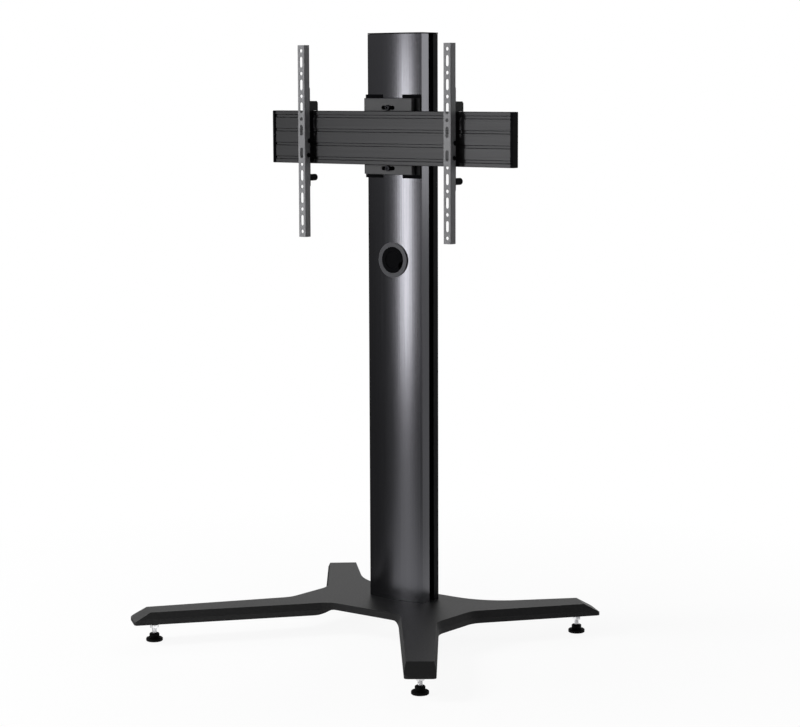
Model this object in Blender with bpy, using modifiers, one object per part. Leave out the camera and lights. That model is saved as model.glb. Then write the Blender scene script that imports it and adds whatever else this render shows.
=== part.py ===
"""Freestanding screen stand: a four-legged base on levelling feet, an extruded column with a rear cable
cover, and a height-adjustable bracket that carries a grooved rail with two tilting, hook-on arms.

Metres, +Z up. The origin is on the floor, at the middle of the base; -Y is the front.
"""

import itertools
import math

import bmesh
import bpy
from mathutils import Matrix, Vector

# Shared clearances
GAP = 0.0003          # between faces that touch
HOLE_PLAY = 0.0003    # radial play of a bolt in its hole
SAG = 0.00015         # how far a chord may lie inside its arc
SOCKET_SHARE = 0.45   # of a bolt's head radius that its hexagon socket takes
SOCKET_FLOOR = 0.4    # of a bolt's head height that is left under the socket
OVERSHOOT = 0.001     # of a cutter past the surface it goes through

# Base frame
LEVEL = 0.99                      # least upright part of a level face's normal
FRONT_FOOT = (0.367, -0.3106)     # right front levelling foot, from the middle of the base
REAR_FOOT = (0.335, 0.3120)       # right rear levelling foot
FRONT_LEG_ANGLE = math.radians(52.5)    # of the leg's end, from the X axis
REAR_LEG_ANGLE = math.radians(49.6)
FRONT_TIP_WIDTH = 0.065
REAR_TIP_WIDTH = 0.069
FRONT_TIP_REACH = 0.048           # from the foot's axis to the end of the leg
REAR_TIP_REACH = 0.0446
TIP_RADIUS = 0.0075
TIP_SLOPE = 0.036                 # plan length of the sloping end of a leg
TIP_LIP = 0.007                   # height of the upright lip under the slope
BASE_CLEARANCE = 0.0435           # from the floor to the underside
BASE_THICKNESS = 0.027
BASE_SKIN = 0.005
SHOULDER_HEIGHT = 0.015           # steep chamfer round the upper half of the base
SHOULDER_PLAN = 0.005
CROTCH_FRONT = (0.0965, -0.030)   # where the front edge would meet the leg's inner edge
CROTCH_REAR = (0.168, 0.190)
WAIST_X = 0.2085                  # straight side edge between the legs
WAIST_FRONT_Y = -0.0340
WAIST_REAR_Y = 0.092
CROTCH_FRONT_RADIUS = 0.045
CROTCH_REAR_RADIUS = 0.170
WAIST_RADIUS = 0.050
ARCH_RISE = 0.0125                # of the raised lower edge between the front legs
ARCH_HALF_SPAN = 0.085            # to where the raised edge starts to come down
ARCH_RAMP = 0.032
RIB_THICKNESS = 0.005
RIB_DEPTH = 0.014
FRONT_RIB_END = (0.200, -0.085)   # inner end of the rib that starts at the foot
REAR_RIB_END = (0.190, 0.155)
WELD = 0.002                      # how far a rib or boss reaches into the skin
ANCHOR_THICKNESS = 0.008
ANCHOR_MARGIN = 0.010             # of the anchor plate round its screws
ANCHOR_CORNER = 0.004
PORT_SCREW_LENGTH = 0.045

# Levelling feet
PAD_RADIUS = 0.0185
PAD_HEIGHT = 0.008
PAD_EDGE = 0.0015
NECK_RADIUS = 0.011
NECK_TOP = 0.018
STUD_RADIUS = 0.005
BALL_RADIUS = 0.0065
BALL_HEIGHT = 0.0095              # of the ball's centre above the floor
BALL_ANGLES = (0.15, -0.45, -1.05)
STUD_TOP = 0.052
BOSS_RADIUS = 0.013
BOSS_DROP = 0.006                 # of the threaded boss below the underside
NUT_HEIGHT = 0.008
NUT_ACROSS = 0.017

# Column section
COLUMN_WIDTH = 0.1484
COLUMN_FRONT_Y = 0.080            # foremost line of the curved front
COLUMN_SAGITTA = 0.008            # how far the front corners stand behind that line
SIDE_DEPTH = 0.013                # flat side behind the front corner
STEP_IN = 0.001                   # shallow step behind it
GROOVE_START = 0.034              # all from the foremost line
GROOVE_END = 0.051
SECTION_DEPTH = 0.054             # to the profile's back face
GROOVE_DEPTH = 0.0132
WALL = 0.003
PORT_RADIUS = 0.0036
PORT_WALL = 0.00255               # round the front screw ports
PORT_INSET = (0.0085, 0.0072)     # of a front port from the front corner
PORT_BLOCK = 0.012                # solid corner that holds a rear screw port
COLUMN_TOP = 1.325                # height of the profile's top end
COVER_DEPTH = 0.0175
COVER_WALL = 0.002
COVER_CORNER = 0.006
CLIP_DEPTH = 0.009
EXIT_WIDTH = 0.050                # cable exit in the foot of the cover
EXIT_HEIGHT = 0.040
CAP_THICKNESS = 0.0025
CAP_PLUG = 0.012

# Cable grommet
GROMMET_HEIGHT = 0.833
GROMMET_HOLE_RADIUS = 0.0330
FLANGE_RADIUS = 0.039
FLANGE_PROUD = 0.0015
RING_WALL = 0.0035
RING_DEPTH = 0.012
LID_THICKNESS = 0.003
LID_PROUD = 0.0030
LID_FACE_RADIUS = 0.019
LID_FACE_DEPTH = 0.0012
LID_EDGE = 0.0008
NOTCH_RADIUS = 0.009
NOTCH_ANGLE = math.radians(-25)   # of the lid's cable notch, from +X

# Rail
RAIL_HEIGHT_Z = 1.100             # height of the rail's centre line
RAIL_FACE = 0.117
RAIL_DEPTH = 0.017
RAIL_LENGTH = 0.645
RAIL_SHIFT = 0.006                # of the rail's middle to the right of the column's
RAIL_WALL = 0.0025
FLUTES = (-0.0465, -0.0155, 0.0155, 0.0465)    # middles of the face's grooves, from the centre line
FLUTE_WIDTH = 0.007
FLUTE_DEPTH = 0.0018
FRONT_WALL = 0.0045
KEY_WIDTH = 0.004                 # groove along the rail's top and bottom edge
KEY_DEPTH = 0.003
END_CAP = 0.007
END_CAP_PROUD = 0.0020            # of the cap in front of the rail's face
END_PLUG = 0.010

# Bracket
PLATE_THICKNESS = 0.0037
PLATE_WIDTH = 0.150
CLAW_WIDTH = 0.128
CLAW_HEIGHT_TOP = 0.0275
CLAW_HEIGHT_BOTTOM = 0.0205
CLAW_DEPTH = 0.0115
CLAW_EDGE = 0.001
CLAW_SLOT = 0.036
CLAW_SLOT_WIDTH = 0.009
CLAW_BOLT_RISE = 0.0072           # of the bolt's axis from the rail's edge
BOLT_RADIUS = 0.0038
BOLT_HEAD_RADIUS = 0.0065
BOLT_HEAD = 0.0040
FLANGE_LENGTH = 0.052             # bracket side flanges, along Y
FLANGE_HEIGHT = 0.100
FLANGE_ROOM = 0.001               # of each flange outside the plate's edge
PAD_INNER_X = 0.027
PAD_OVERHANG = 0.008
JAW_PLAY = 0.001
JAW_HEIGHT = 0.096
JAW_LIP = 0.009                   # of the jaw over the column's side, in front of the groove
JAW_SCREW_SPACING = 0.050

# Arms
ARM_X = (-0.217, 0.185)           # left and right arm along the rail
ARM_CENTRE_Z = 1.0905
ARM_LENGTH = 0.425
ARM_WIDTH = 0.020
ARM_FLANGE = 0.017
ARM_LIP = 0.006
ARM_WALL = 0.002
ARM_BEND = 0.0016                 # outer radius of the folds
ARM_STANDOFF = 0.029              # from the arm's front to the rail's front
SLOT_PITCH = 0.050
SLOT_LENGTH = 0.024
SLOT_WIDTH = 0.008
SLOT_MARGIN = 0.0085              # from the last hole's centre to the arm's end, at least
HOOK_LENGTH = 0.222
HOOK_PLATE = 0.0025
HOOK_WIDTH = 0.0152
HOOK_WEB_Y = 0.019                # from the arm's front to the front of the bracket's web
HOOK_RISE = 0.0215                # of the hook above the rail's top edge
HOOK_NOSE = 0.0025
HOOK_DROP = 0.008
SIDE_BOTTOM = 0.0045              # lower end of the bracket's sides above the rail's bottom edge
EAR_RADIUS = 0.0084               # round the pivot
EAR_HEIGHT = 0.043                # above the pivot
PIVOT_OFFSET = (0.011, -0.040)    # from the arm's front and from the rail's centre line
TILT_RADIUS = 0.032
TILT_ANGLE = math.radians(10)
ARM_BOLT_RADIUS = 0.0028
ARM_HEAD_RADIUS = 0.0052
ARM_HEAD = 0.0020
ARM_NUT_RADIUS = 0.0046
ARM_NUT = 0.0030
TILT_BOLT_Y = 0.0138              # from the arm's front
LOCK_DROP = 0.090                 # of the lock stud below the rail's centre line
LOCK_RADIUS = 0.0075
LOCK_NECK = 0.003
LOCK_COLLAR = 0.0050
LOCK_COLLAR_THICKNESS = 0.0022
LOCK_BACK = 0.0190                # how far the lock reaches behind the rail's front face
LOCK_EDGE = 0.0012
LOCK_TRAVEL = 0.0235

# Derived places
BASE_TOP = BASE_CLEARANCE + BASE_THICKNESS
HALF = COLUMN_WIDTH / 2
FRONT_RADIUS = (HALF ** 2 + COLUMN_SAGITTA ** 2) / (2 * COLUMN_SAGITTA)
COLUMN_FOOT = BASE_TOP + GAP
COLUMN_BACK_Y = COLUMN_FRONT_Y + SECTION_DEPTH
COVER_BACK_Y = COLUMN_BACK_Y + GAP + COVER_DEPTH
CAVITY_X = HALF - STEP_IN - GROOVE_DEPTH - WALL
OPENING_X = CAVITY_X + WALL - PORT_BLOCK
LAND_X = HALF - STEP_IN - COVER_WALL - GAP
PORT_FRONT = (HALF - PORT_INSET[0], COLUMN_FRONT_Y + COLUMN_SAGITTA + PORT_INSET[1])
PORT_REAR = (CAVITY_X + WALL - PORT_BLOCK / 2, COLUMN_FRONT_Y + GROOVE_END - PORT_BLOCK / 2)
PLATE_BACK_Y = COLUMN_FRONT_Y - GAP
PLATE_FRONT_Y = PLATE_BACK_Y - PLATE_THICKNESS
RAIL_BACK_Y = PLATE_FRONT_Y - GAP
RAIL_FRONT_Y = RAIL_BACK_Y - RAIL_DEPTH
RAIL_TOP = RAIL_HEIGHT_Z + RAIL_FACE / 2
RAIL_BOTTOM = RAIL_HEIGHT_Z - RAIL_FACE / 2
KEY_Y = RAIL_FRONT_Y + RAIL_DEPTH / 2
CLAW_BACK_Y = PLATE_FRONT_Y - GAP
CLAW_FRONT_Y = CLAW_BACK_Y - CLAW_DEPTH
PLATE_TOP = RAIL_TOP + GAP + CLAW_HEIGHT_TOP
PLATE_BOTTOM = RAIL_BOTTOM - GAP - CLAW_HEIGHT_BOTTOM
GROOVE_MID_Y = COLUMN_FRONT_Y + (GROOVE_START + GROOVE_END) / 2
FLANGE_INNER_X = PLATE_WIDTH / 2 + FLANGE_ROOM
ARM_FRONT_Y = RAIL_FRONT_Y - ARM_STANDOFF
PIVOT_Y = ARM_FRONT_Y + PIVOT_OFFSET[0]
PIVOT_Z = RAIL_HEIGHT_Z + PIVOT_OFFSET[1]
TILT_Y = ARM_FRONT_Y + TILT_BOLT_Y
TILT_Z = PIVOT_Z + TILT_RADIUS
WEB_Y = ARM_FRONT_Y + HOOK_WEB_Y
LOCK_Z = RAIL_HEIGHT_Z - LOCK_DROP

PARTS = "screen_stand"
CUTTERS = "cutters"


def start():
    for old in list(bpy.data.objects):
        bpy.data.objects.remove(old, do_unlink=True)
    for name in (PARTS, CUTTERS):
        group = bpy.data.collections.new(name)
        bpy.context.scene.collection.children.link(group)


def make_material(name, colour, roughness, metallic):
    made = bpy.data.materials.new(name)
    made.use_nodes = True
    shader = made.node_tree.nodes["Principled BSDF"]
    shader.inputs["Base Color"].default_value = (*colour, 1)
    shader.inputs["Roughness"].default_value = roughness
    shader.inputs["Metallic"].default_value = metallic
    return made


def finishes():
    return {
        "base": make_material("base_powder_coat", (0.030, 0.030, 0.032), 0.45, 0.0),
        "column": make_material("column_anodised", (0.060, 0.060, 0.066), 0.30, 0.9),
        "black": make_material("black_plastic", (0.008, 0.008, 0.009), 0.45, 0.0),
        "rail": make_material("rail_anodised", (0.070, 0.070, 0.072), 0.45, 0.7),
        "bracket": make_material("bracket_coat", (0.110, 0.110, 0.112), 0.50, 0.2),
        "arm": make_material("arm_coat", (0.130, 0.130, 0.135), 0.50, 0.3),
        "hook": make_material("hook_coat", (0.012, 0.012, 0.013), 0.45, 0.2),
        "ring": make_material("ring_plastic", (0.090, 0.090, 0.095), 0.40, 0.0),
        "steel": make_material("zinc_steel", (0.550, 0.550, 0.560), 0.30, 1.0),
        "screw": make_material("black_screw", (0.030, 0.030, 0.032), 0.40, 0.8),
        "rubber": make_material("rubber", (0.012, 0.012, 0.012), 0.80, 0.0),
    }


def link(name, mesh, group, finish=None):
    made = bpy.data.objects.new(name, mesh)
    bpy.data.collections[group].objects.link(made)
    if finish is not None:
        mesh.materials.clear()
        mesh.materials.append(finish)
    if group == CUTTERS:
        made.hide_render = True
        made.display_type = "WIRE"
    return made


def mesh_from(fill):
    """A mesh made by the function fill, which draws into a bmesh."""
    work = bmesh.new()
    fill(work)
    bmesh.ops.remove_doubles(work, verts=work.verts, dist=1e-6)
    bmesh.ops.recalc_face_normals(work, faces=work.faces)
    mesh = bpy.data.meshes.new("mesh")
    work.to_mesh(mesh)
    work.free()
    return mesh


def box_mesh(low, high):
    size = [b - a for a, b in zip(low, high)]
    middle = [(a + b) / 2 for a, b in zip(low, high)]
    place = Matrix.Translation(middle) @ Matrix.Diagonal((*size, 1))
    return mesh_from(lambda work: bmesh.ops.create_cube(work, size=1, matrix=place))


ALONG = {
    "X": Matrix(((0, 0, 1, 0), (1, 0, 0, 0), (0, 1, 0, 0), (0, 0, 0, 1))),
    "Y": Matrix(((1, 0, 0, 0), (0, 0, -1, 0), (0, 1, 0, 0), (0, 0, 0, 1))),
    "Z": Matrix.Identity(4),
}
ALONG_BACK = Matrix.Rotation(-math.pi / 2, 4, "X")    # turns +Z to +Y


def prism_mesh(loops, low, high, axis):
    """Flat outlines, holes among them, drawn across an axis and extruded along it from low to high.

    Across X an outline's points are (y, z), across Y they are (x, z) and across Z (x, y).
    """
    curve = bpy.data.curves.new("outline", "CURVE")
    curve.dimensions = "2D"
    curve.fill_mode = "BOTH"
    curve.extrude = (high - low) / 2
    for loop in loops:
        spline = curve.splines.new("POLY")
        spline.points.add(len(loop) - 1)
        for point, (u, v) in zip(spline.points, loop):
            point.co = (u, v, 0, 1)
        spline.use_cyclic_u = True
    drawn = bpy.data.objects.new("outline", curve)
    bpy.context.scene.collection.objects.link(drawn)
    bpy.context.view_layer.update()
    mesh = bpy.data.meshes.new_from_object(drawn.evaluated_get(bpy.context.evaluated_depsgraph_get()))
    bpy.data.objects.remove(drawn, do_unlink=True)
    middle = (low + high) / 2
    shift = {"X": (middle, 0, 0), "Y": (0, middle, 0), "Z": (0, 0, middle)}[axis]
    mesh.transform(Matrix.Translation(shift) @ ALONG[axis])
    return mesh_from(lambda work: work.from_mesh(mesh))


def turned_mesh(profile, steps, place):
    """A profile of (radius, height) points, top first and down the outer side, turned with a Screw."""
    work = bmesh.new()
    points = [work.verts.new((radius, 0, height)) for radius, height in profile]
    for a, b in zip(points, points[1:]):
        work.edges.new((a, b))
    mesh = bpy.data.meshes.new("profile")
    work.to_mesh(mesh)
    work.free()
    drawn = bpy.data.objects.new("profile", mesh)
    bpy.context.scene.collection.objects.link(drawn)
    screw = drawn.modifiers.new("turn", "SCREW")
    screw.steps = steps
    screw.render_steps = steps
    screw.use_merge_vertices = True
    screw.merge_threshold = 1e-6
    bpy.context.view_layer.update()
    made = bpy.data.meshes.new_from_object(drawn.evaluated_get(bpy.context.evaluated_depsgraph_get()))
    bpy.data.objects.remove(drawn, do_unlink=True)
    made.transform(place)
    mesh = mesh_from(lambda fresh: fresh.from_mesh(made))
    mesh.shade_smooth()
    mesh.set_sharp_from_angle(angle=math.radians(35))
    return mesh


def rod_mesh(radius, low, high, axis, centre, sides=24):
    """A round or many-sided bar along an axis; centre gives its two other coordinates in X, Y, Z order."""
    turn = {"X": Matrix.Rotation(math.pi / 2, 4, "Y"), "Y": Matrix.Rotation(math.pi / 2, 4, "X")}
    middle = list(centre)
    middle.insert("XYZ".index(axis), (low + high) / 2)
    place = Matrix.Translation(middle) @ turn.get(axis, Matrix.Identity(4))
    return mesh_from(lambda work: bmesh.ops.create_cone(
        work, cap_ends=True, segments=sides, radius1=radius, radius2=radius, depth=high - low, matrix=place))


def combine(made, operation, meshes, place=(0, 0, 0)):
    """Boolean cuts or unions with helper meshes, which stay as cutters at the given place."""
    for number, mesh in enumerate(meshes):
        helper = link(f"{made.name}_{operation.lower()}_{len(made.modifiers)}_{number}", mesh, CUTTERS)
        helper.location = place
        step = made.modifiers.new(operation.lower(), "BOOLEAN")
        step.operation = operation
        step.object = helper
        step.solver = "EXACT"


def arc(centre, radius, start_angle, end_angle, steps):
    """Points on an arc, both ends included."""
    points = []
    for step in range(steps + 1):
        angle = start_angle + (end_angle - start_angle) * step / steps
        points.append((centre[0] + radius * math.cos(angle), centre[1] + radius * math.sin(angle)))
    return points


def circle(centre, radius, steps):
    return arc(centre, radius, 0, 2 * math.pi, steps)[:-1]


def rounded(corners):
    """A closed outline through (x, y, radius) corners, each rounded by an arc tangent to its two edges."""
    outline = []
    for number, (x, y, radius) in enumerate(corners):
        here = Vector((x, y))
        before = (Vector(corners[number - 1][:2]) - here).normalized()
        after = (Vector(corners[(number + 1) % len(corners)][:2]) - here).normalized()
        half = before.angle(after) / 2
        if radius <= 0 or half > math.radians(89.5):
            outline.append((x, y))
            continue
        centre = here + (before + after).normalized() * (radius / math.sin(half))
        first = here + before * (radius / math.tan(half)) - centre
        last = here + after * (radius / math.tan(half)) - centre
        sweep = first.angle_signed(last)
        steps = max(2, math.ceil(abs(sweep) / (2 * math.acos(1 - SAG / radius))))
        begin = math.atan2(first.y, first.x)
        outline += arc(centre, radius, begin, begin - sweep, steps)
    return outline


def slot_outline(centre, length, width, upright):
    """A slot with round ends, its length end to end."""
    run = (length - width) / 2
    u, v = centre
    if upright:
        return (arc((u, v + run), width / 2, 0, math.pi, 6)
                + arc((u, v - run), width / 2, math.pi, 2 * math.pi, 6))
    return (arc((u + run, v), width / 2, -math.pi / 2, math.pi / 2, 6)
            + arc((u - run, v), width / 2, math.pi / 2, 3 * math.pi / 2, 6))


def mirrored(points):
    """The same points reflected in the YZ plane, in reverse order."""
    return [(-x, *rest) for x, *rest in reversed(points)]


# Base


def legs():
    """Foot, unit vector along the leg, and the middle of the end, for the front and rear right-hand legs."""
    front = Vector((math.cos(FRONT_LEG_ANGLE), -math.sin(FRONT_LEG_ANGLE)))
    rear = Vector((math.cos(REAR_LEG_ANGLE), math.sin(REAR_LEG_ANGLE)))
    return {"front": (FRONT_FOOT, front, Vector(FRONT_FOOT) + front * FRONT_TIP_REACH),
            "rear": (REAR_FOOT, rear, Vector(REAR_FOOT) + rear * REAR_TIP_REACH)}


def leg_end(name, width):
    """The two corners of a right-hand leg's end, counterclockwise."""
    _, along, end = legs()[name]
    across = Vector((-along.y, along.x)) * (width / 2)
    return [(*(end - across), TIP_RADIUS), (*(end + across), TIP_RADIUS)]


def base_outline():
    right = [(*CROTCH_FRONT, CROTCH_FRONT_RADIUS), *leg_end("front", FRONT_TIP_WIDTH),
             (WAIST_X, WAIST_FRONT_Y, WAIST_RADIUS), (WAIST_X, WAIST_REAR_Y, WAIST_RADIUS),
             *leg_end("rear", REAR_TIP_WIDTH), (*CROTCH_REAR, CROTCH_REAR_RADIUS)]
    return rounded(right + mirrored(right))


def feet():
    """Name and place of each foot."""
    found = []
    for side, sign in (("left", -1), ("right", 1)):
        for name, (foot, _, _) in legs().items():
            found.append((f"{name}_{side}", (sign * foot[0], foot[1])))
    return found


def base_shell_mesh():
    """The base's skin, open underneath: the outline raised, drawn in at the shoulder, its ends sloped."""
    slab = prism_mesh([base_outline()], BASE_CLEARANCE, BASE_TOP - SHOULDER_HEIGHT, "Z")
    work = bmesh.new()
    work.from_mesh(slab)
    flat = math.radians(0.5)
    bmesh.ops.dissolve_limit(work, angle_limit=flat, verts=work.verts[:], edges=work.edges[:])
    upper = [face for face in work.faces if face.normal.z > LEVEL]
    bmesh.ops.inset_region(work, faces=upper, thickness=SHOULDER_PLAN, depth=SHOULDER_HEIGHT,
                           use_boundary=True, use_even_offset=True)
    slope = math.atan2(BASE_THICKNESS - TIP_LIP, TIP_SLOPE)
    for (_, along, end), sign in itertools.product(legs().values(), (-1, 1)):
        fall = along * math.sin(slope)
        cut = bmesh.ops.bisect_plane(
            work, geom=work.verts[:] + work.edges[:] + work.faces[:], dist=1e-7, clear_outer=True,
            plane_co=(sign * end.x, end.y, BASE_CLEARANCE + TIP_LIP),
            plane_no=(sign * fall.x, fall.y, math.cos(slope)))
        rim = [part for part in cut["geom_cut"] if isinstance(part, bmesh.types.BMEdge)]
        bmesh.ops.contextual_create(work, geom=rim)
    bmesh.ops.recalc_face_normals(work, faces=work.faces)
    under = [face for face in work.faces if face.normal.z < -LEVEL]
    bmesh.ops.delete(work, geom=under, context="FACES")
    mesh = bpy.data.meshes.new("base_skin")
    work.to_mesh(mesh)
    work.free()
    return mesh


def arch_cutter_mesh():
    """Raises the lower edge between the front legs, with a smooth ramp at each end."""
    steps = 6
    ramp = []
    for step in range(steps + 1):
        share = step / steps
        ramp.append((ARCH_HALF_SPAN + ARCH_RAMP * (1 - share),
                     BASE_CLEARANCE + ARCH_RISE * (1 - math.cos(math.pi * share)) / 2))
    floor = BASE_CLEARANCE - ARCH_RISE
    outline = [(ramp[0][0], floor)] + ramp + mirrored(ramp) + [(-ramp[0][0], floor)]
    reach = 2 * (ARCH_HALF_SPAN + ARCH_RAMP - CROTCH_FRONT[0])
    return prism_mesh([outline], CROTCH_FRONT[1] - reach, CROTCH_FRONT[1] + 2 * BASE_SKIN, "Y")


def rib_mesh(name, foot):
    """A rib under the skin, from a foot's boss towards the column."""
    end = FRONT_RIB_END if name.startswith("front") else REAR_RIB_END
    first = Vector(foot)
    last = Vector((math.copysign(end[0], foot[0]), end[1]))
    run = last - first
    low = BASE_TOP - BASE_SKIN - RIB_DEPTH
    high = BASE_TOP - BASE_SKIN + WELD
    middle = (first + last) / 2
    place = (Matrix.Translation((middle.x, middle.y, (low + high) / 2))
             @ Matrix.Rotation(math.atan2(run.y, run.x), 4, "Z")
             @ Matrix.Diagonal((run.length, RIB_THICKNESS, high - low, 1)))
    return mesh_from(lambda work: bmesh.ops.create_cube(work, size=1, matrix=place))


def screw_ports():
    """Centres of the column's four screw ports."""
    return [(-PORT_FRONT[0], PORT_FRONT[1]), PORT_FRONT, (-PORT_REAR[0], PORT_REAR[1]), PORT_REAR]


def build_base(finish):
    frame = link("base_frame", base_shell_mesh(), PARTS, finish["base"])
    wall = frame.modifiers.new("wall", "SOLIDIFY")
    wall.thickness = BASE_SKIN
    wall.offset = -1
    wall.use_even_offset = True
    skin_under = BASE_TOP - BASE_SKIN
    boss_foot = BASE_CLEARANCE - BOSS_DROP
    bosses = [rod_mesh(BOSS_RADIUS, boss_foot, skin_under + WELD, "Z", foot) for _, foot in feet()]
    ribs = [rib_mesh(name, foot) for name, foot in feet()]
    combine(frame, "UNION", bosses + ribs)
    bores = [rod_mesh(STUD_RADIUS + HOLE_PLAY, boss_foot - OVERSHOOT, skin_under - WELD / 4, "Z", foot, 12)
             for _, foot in feet()]
    holes = [rod_mesh(BOLT_RADIUS + HOLE_PLAY, skin_under - WELD, BASE_TOP + WELD, "Z", port, 12)
             for port in screw_ports()]
    combine(frame, "DIFFERENCE", [arch_cutter_mesh()] + bores + holes)


def build_anchor(finish):
    """The steel plate under the base's skin and the four screws that hold the column on it."""
    top = BASE_TOP - BASE_SKIN - GAP
    x = PORT_FRONT[0] + ANCHOR_MARGIN
    front = PORT_FRONT[1] - ANCHOR_MARGIN
    back = PORT_REAR[1] + ANCHOR_MARGIN
    edge = rounded([(*corner, ANCHOR_CORNER) for corner in ((-x, front), (x, front), (x, back), (-x, back))])
    loops = [edge] + [circle(port, BOLT_RADIUS + HOLE_PLAY, 12) for port in screw_ports()]
    link("column_anchor_plate", prism_mesh(loops, top - ANCHOR_THICKNESS, top, "Z"), PARTS, finish["steel"])
    for number, port in enumerate(screw_ports(), 1):
        seat = (*port, top - ANCHOR_THICKNESS - GAP)
        build_bolt(f"column_screw_{number}", finish["screw"], seat, (0, 0, 1), PORT_SCREW_LENGTH,
                   PORT_RADIUS - HOLE_PLAY, BOLT_HEAD_RADIUS, BOLT_HEAD)


def build_bolt(name, finish, seat, towards, length, shank, head, head_height):
    """A socket-head bolt: seat is the middle of the bearing face, towards the way its shank points."""
    edge = shank / 5
    profile = [(0, length), (shank, length), (shank, 0), (head, 0), (head, edge - head_height),
               (head - edge, -head_height), (0, -head_height)]
    turn = Vector((0, 0, 1)).rotation_difference(Vector(towards))
    made = link(name, turned_mesh(profile, 12, Matrix.Identity(4)), PARTS, finish)
    made.location = seat
    made.rotation_euler = turn.to_euler()
    socket = rod_mesh(head * SOCKET_SHARE, -head_height - edge, -head_height * SOCKET_FLOOR, "Z", (0, 0), 6)
    socket.transform(Matrix.Translation(seat) @ turn.to_matrix().to_4x4())
    combine(made, "DIFFERENCE", [socket])
    return made


# Levelling feet


def build_feet(finish):
    """One pad, stud and lock nut, placed at each of the four feet."""
    socket = BALL_RADIUS + GAP
    throat = STUD_RADIUS + GAP
    throat_angle = math.acos(throat / socket)
    ball_seat = [(socket * math.cos(a), BALL_HEIGHT + socket * math.sin(a))
                 for a in (throat_angle, *BALL_ANGLES)]
    edge = PAD_EDGE
    pad_profile = [
        (0, BALL_HEIGHT - socket), *reversed(ball_seat), (throat, NECK_TOP), (NECK_RADIUS - edge, NECK_TOP),
        (NECK_RADIUS, NECK_TOP - edge), (NECK_RADIUS, PAD_HEIGHT + edge), (PAD_RADIUS - edge, PAD_HEIGHT),
        (PAD_RADIUS, PAD_HEIGHT - edge), (PAD_RADIUS, edge), (PAD_RADIUS - edge, 0), (0, 0)]
    neck = STUD_RADIUS
    neck_angle = math.acos(neck / BALL_RADIUS)
    ball = [(BALL_RADIUS * math.cos(a), BALL_HEIGHT + BALL_RADIUS * math.sin(a))
            for a in (neck_angle, *BALL_ANGLES)]
    stud_profile = [(0, STUD_TOP), (neck - edge / 2, STUD_TOP), (neck, STUD_TOP - edge / 2), *ball,
                    (0, BALL_HEIGHT - BALL_RADIUS)]
    nut_top = BASE_CLEARANCE - BOSS_DROP - GAP
    hexagon = circle((0, 0), NUT_ACROSS / 2 / math.cos(math.pi / 6), 6)
    nut_loops = [hexagon, circle((0, 0), STUD_RADIUS + HOLE_PLAY, 12)]
    pad_mesh = turned_mesh(pad_profile, 16, Matrix.Identity(4))
    stud_mesh = turned_mesh(stud_profile, 12, Matrix.Identity(4))
    nut_mesh = prism_mesh(nut_loops, nut_top - NUT_HEIGHT, nut_top, "Z")
    for name, (x, y) in feet():
        for part, mesh, look in (("foot_pad", pad_mesh, "rubber"), ("foot_stud", stud_mesh, "steel"),
                                 ("foot_lock_nut", nut_mesh, "screw")):
            made = link(f"{part}_{name}", mesh, PARTS, finish[look])
            made.location = (x, y, 0)


# Column


def front_arc(half_width, inset, steps):
    """Points on the column's curved front, from left to right, moved in by inset."""
    radius = FRONT_RADIUS - inset
    centre = (0, COLUMN_FRONT_Y + FRONT_RADIUS)
    half_angle = math.asin(half_width / radius)
    return arc(centre, radius, -math.pi / 2 - half_angle, -math.pi / 2 + half_angle, steps)


def column_outline():
    """The extrusion's section: a curved front, a groove in each side and a channel open at the back."""
    front = COLUMN_FRONT_Y
    side = HALF - STEP_IN
    inner = side - WALL
    corner_x = PORT_FRONT[0] - PORT_RADIUS - PORT_WALL
    corner_y = PORT_FRONT[1] + PORT_RADIUS + PORT_WALL
    right_out = [
        (HALF, front + COLUMN_SAGITTA + SIDE_DEPTH), (side, front + COLUMN_SAGITTA + SIDE_DEPTH + STEP_IN),
        (side, front + GROOVE_START), (side - GROOVE_DEPTH, front + GROOVE_START),
        (side - GROOVE_DEPTH, front + GROOVE_END), (LAND_X, front + GROOVE_END), (LAND_X, COLUMN_BACK_Y),
        (OPENING_X, COLUMN_BACK_Y), (OPENING_X, front + GROOVE_END - PORT_BLOCK),
        (CAVITY_X, front + GROOVE_END - PORT_BLOCK), (CAVITY_X, front + GROOVE_START - WALL),
        (inner, front + GROOVE_START - WALL), (inner, corner_y), (corner_x, corner_y)]
    outline = front_arc(HALF, 0, 24) + right_out + list(reversed(front_arc(corner_x, WALL, 16)))
    return outline + mirrored(right_out)


def build_column(finish):
    loops = [column_outline()] + [circle(port, PORT_RADIUS, 16) for port in screw_ports()]
    column = link("column_profile", prism_mesh(loops, COLUMN_FOOT, COLUMN_TOP, "Z"), PARTS, finish["column"])
    hole = rod_mesh(GROMMET_HOLE_RADIUS, COLUMN_FRONT_Y - OVERSHOOT, COLUMN_FRONT_Y + RING_DEPTH, "Y",
                    (0, GROMMET_HEIGHT), 32)
    combine(column, "DIFFERENCE", [hole])
    build_cover(finish)
    build_top_cap(finish)


def cover_outline():
    """The rear cover's section: a shallow channel with two clip legs that press into the profile."""
    side = HALF - STEP_IN
    start = COLUMN_FRONT_Y + GROOVE_END + GAP
    inner_back = COVER_BACK_Y - COVER_WALL
    clip_out = OPENING_X - GAP
    clip_end = COLUMN_BACK_Y - CLIP_DEPTH
    outer = rounded([(side, start, 0), (side, COVER_BACK_Y, COVER_CORNER),
                     (-side, COVER_BACK_Y, COVER_CORNER), (-side, start, 0)])
    right_in = [(side - COVER_WALL, start), (side - COVER_WALL, inner_back - COVER_WALL),
                (side - COVER_WALL * 2, inner_back), (clip_out, inner_back), (clip_out, clip_end),
                (clip_out - COVER_WALL, clip_end), (clip_out - COVER_WALL, inner_back + GAP)]
    return outer + mirrored(right_in)[::-1] + right_in[::-1]


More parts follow.
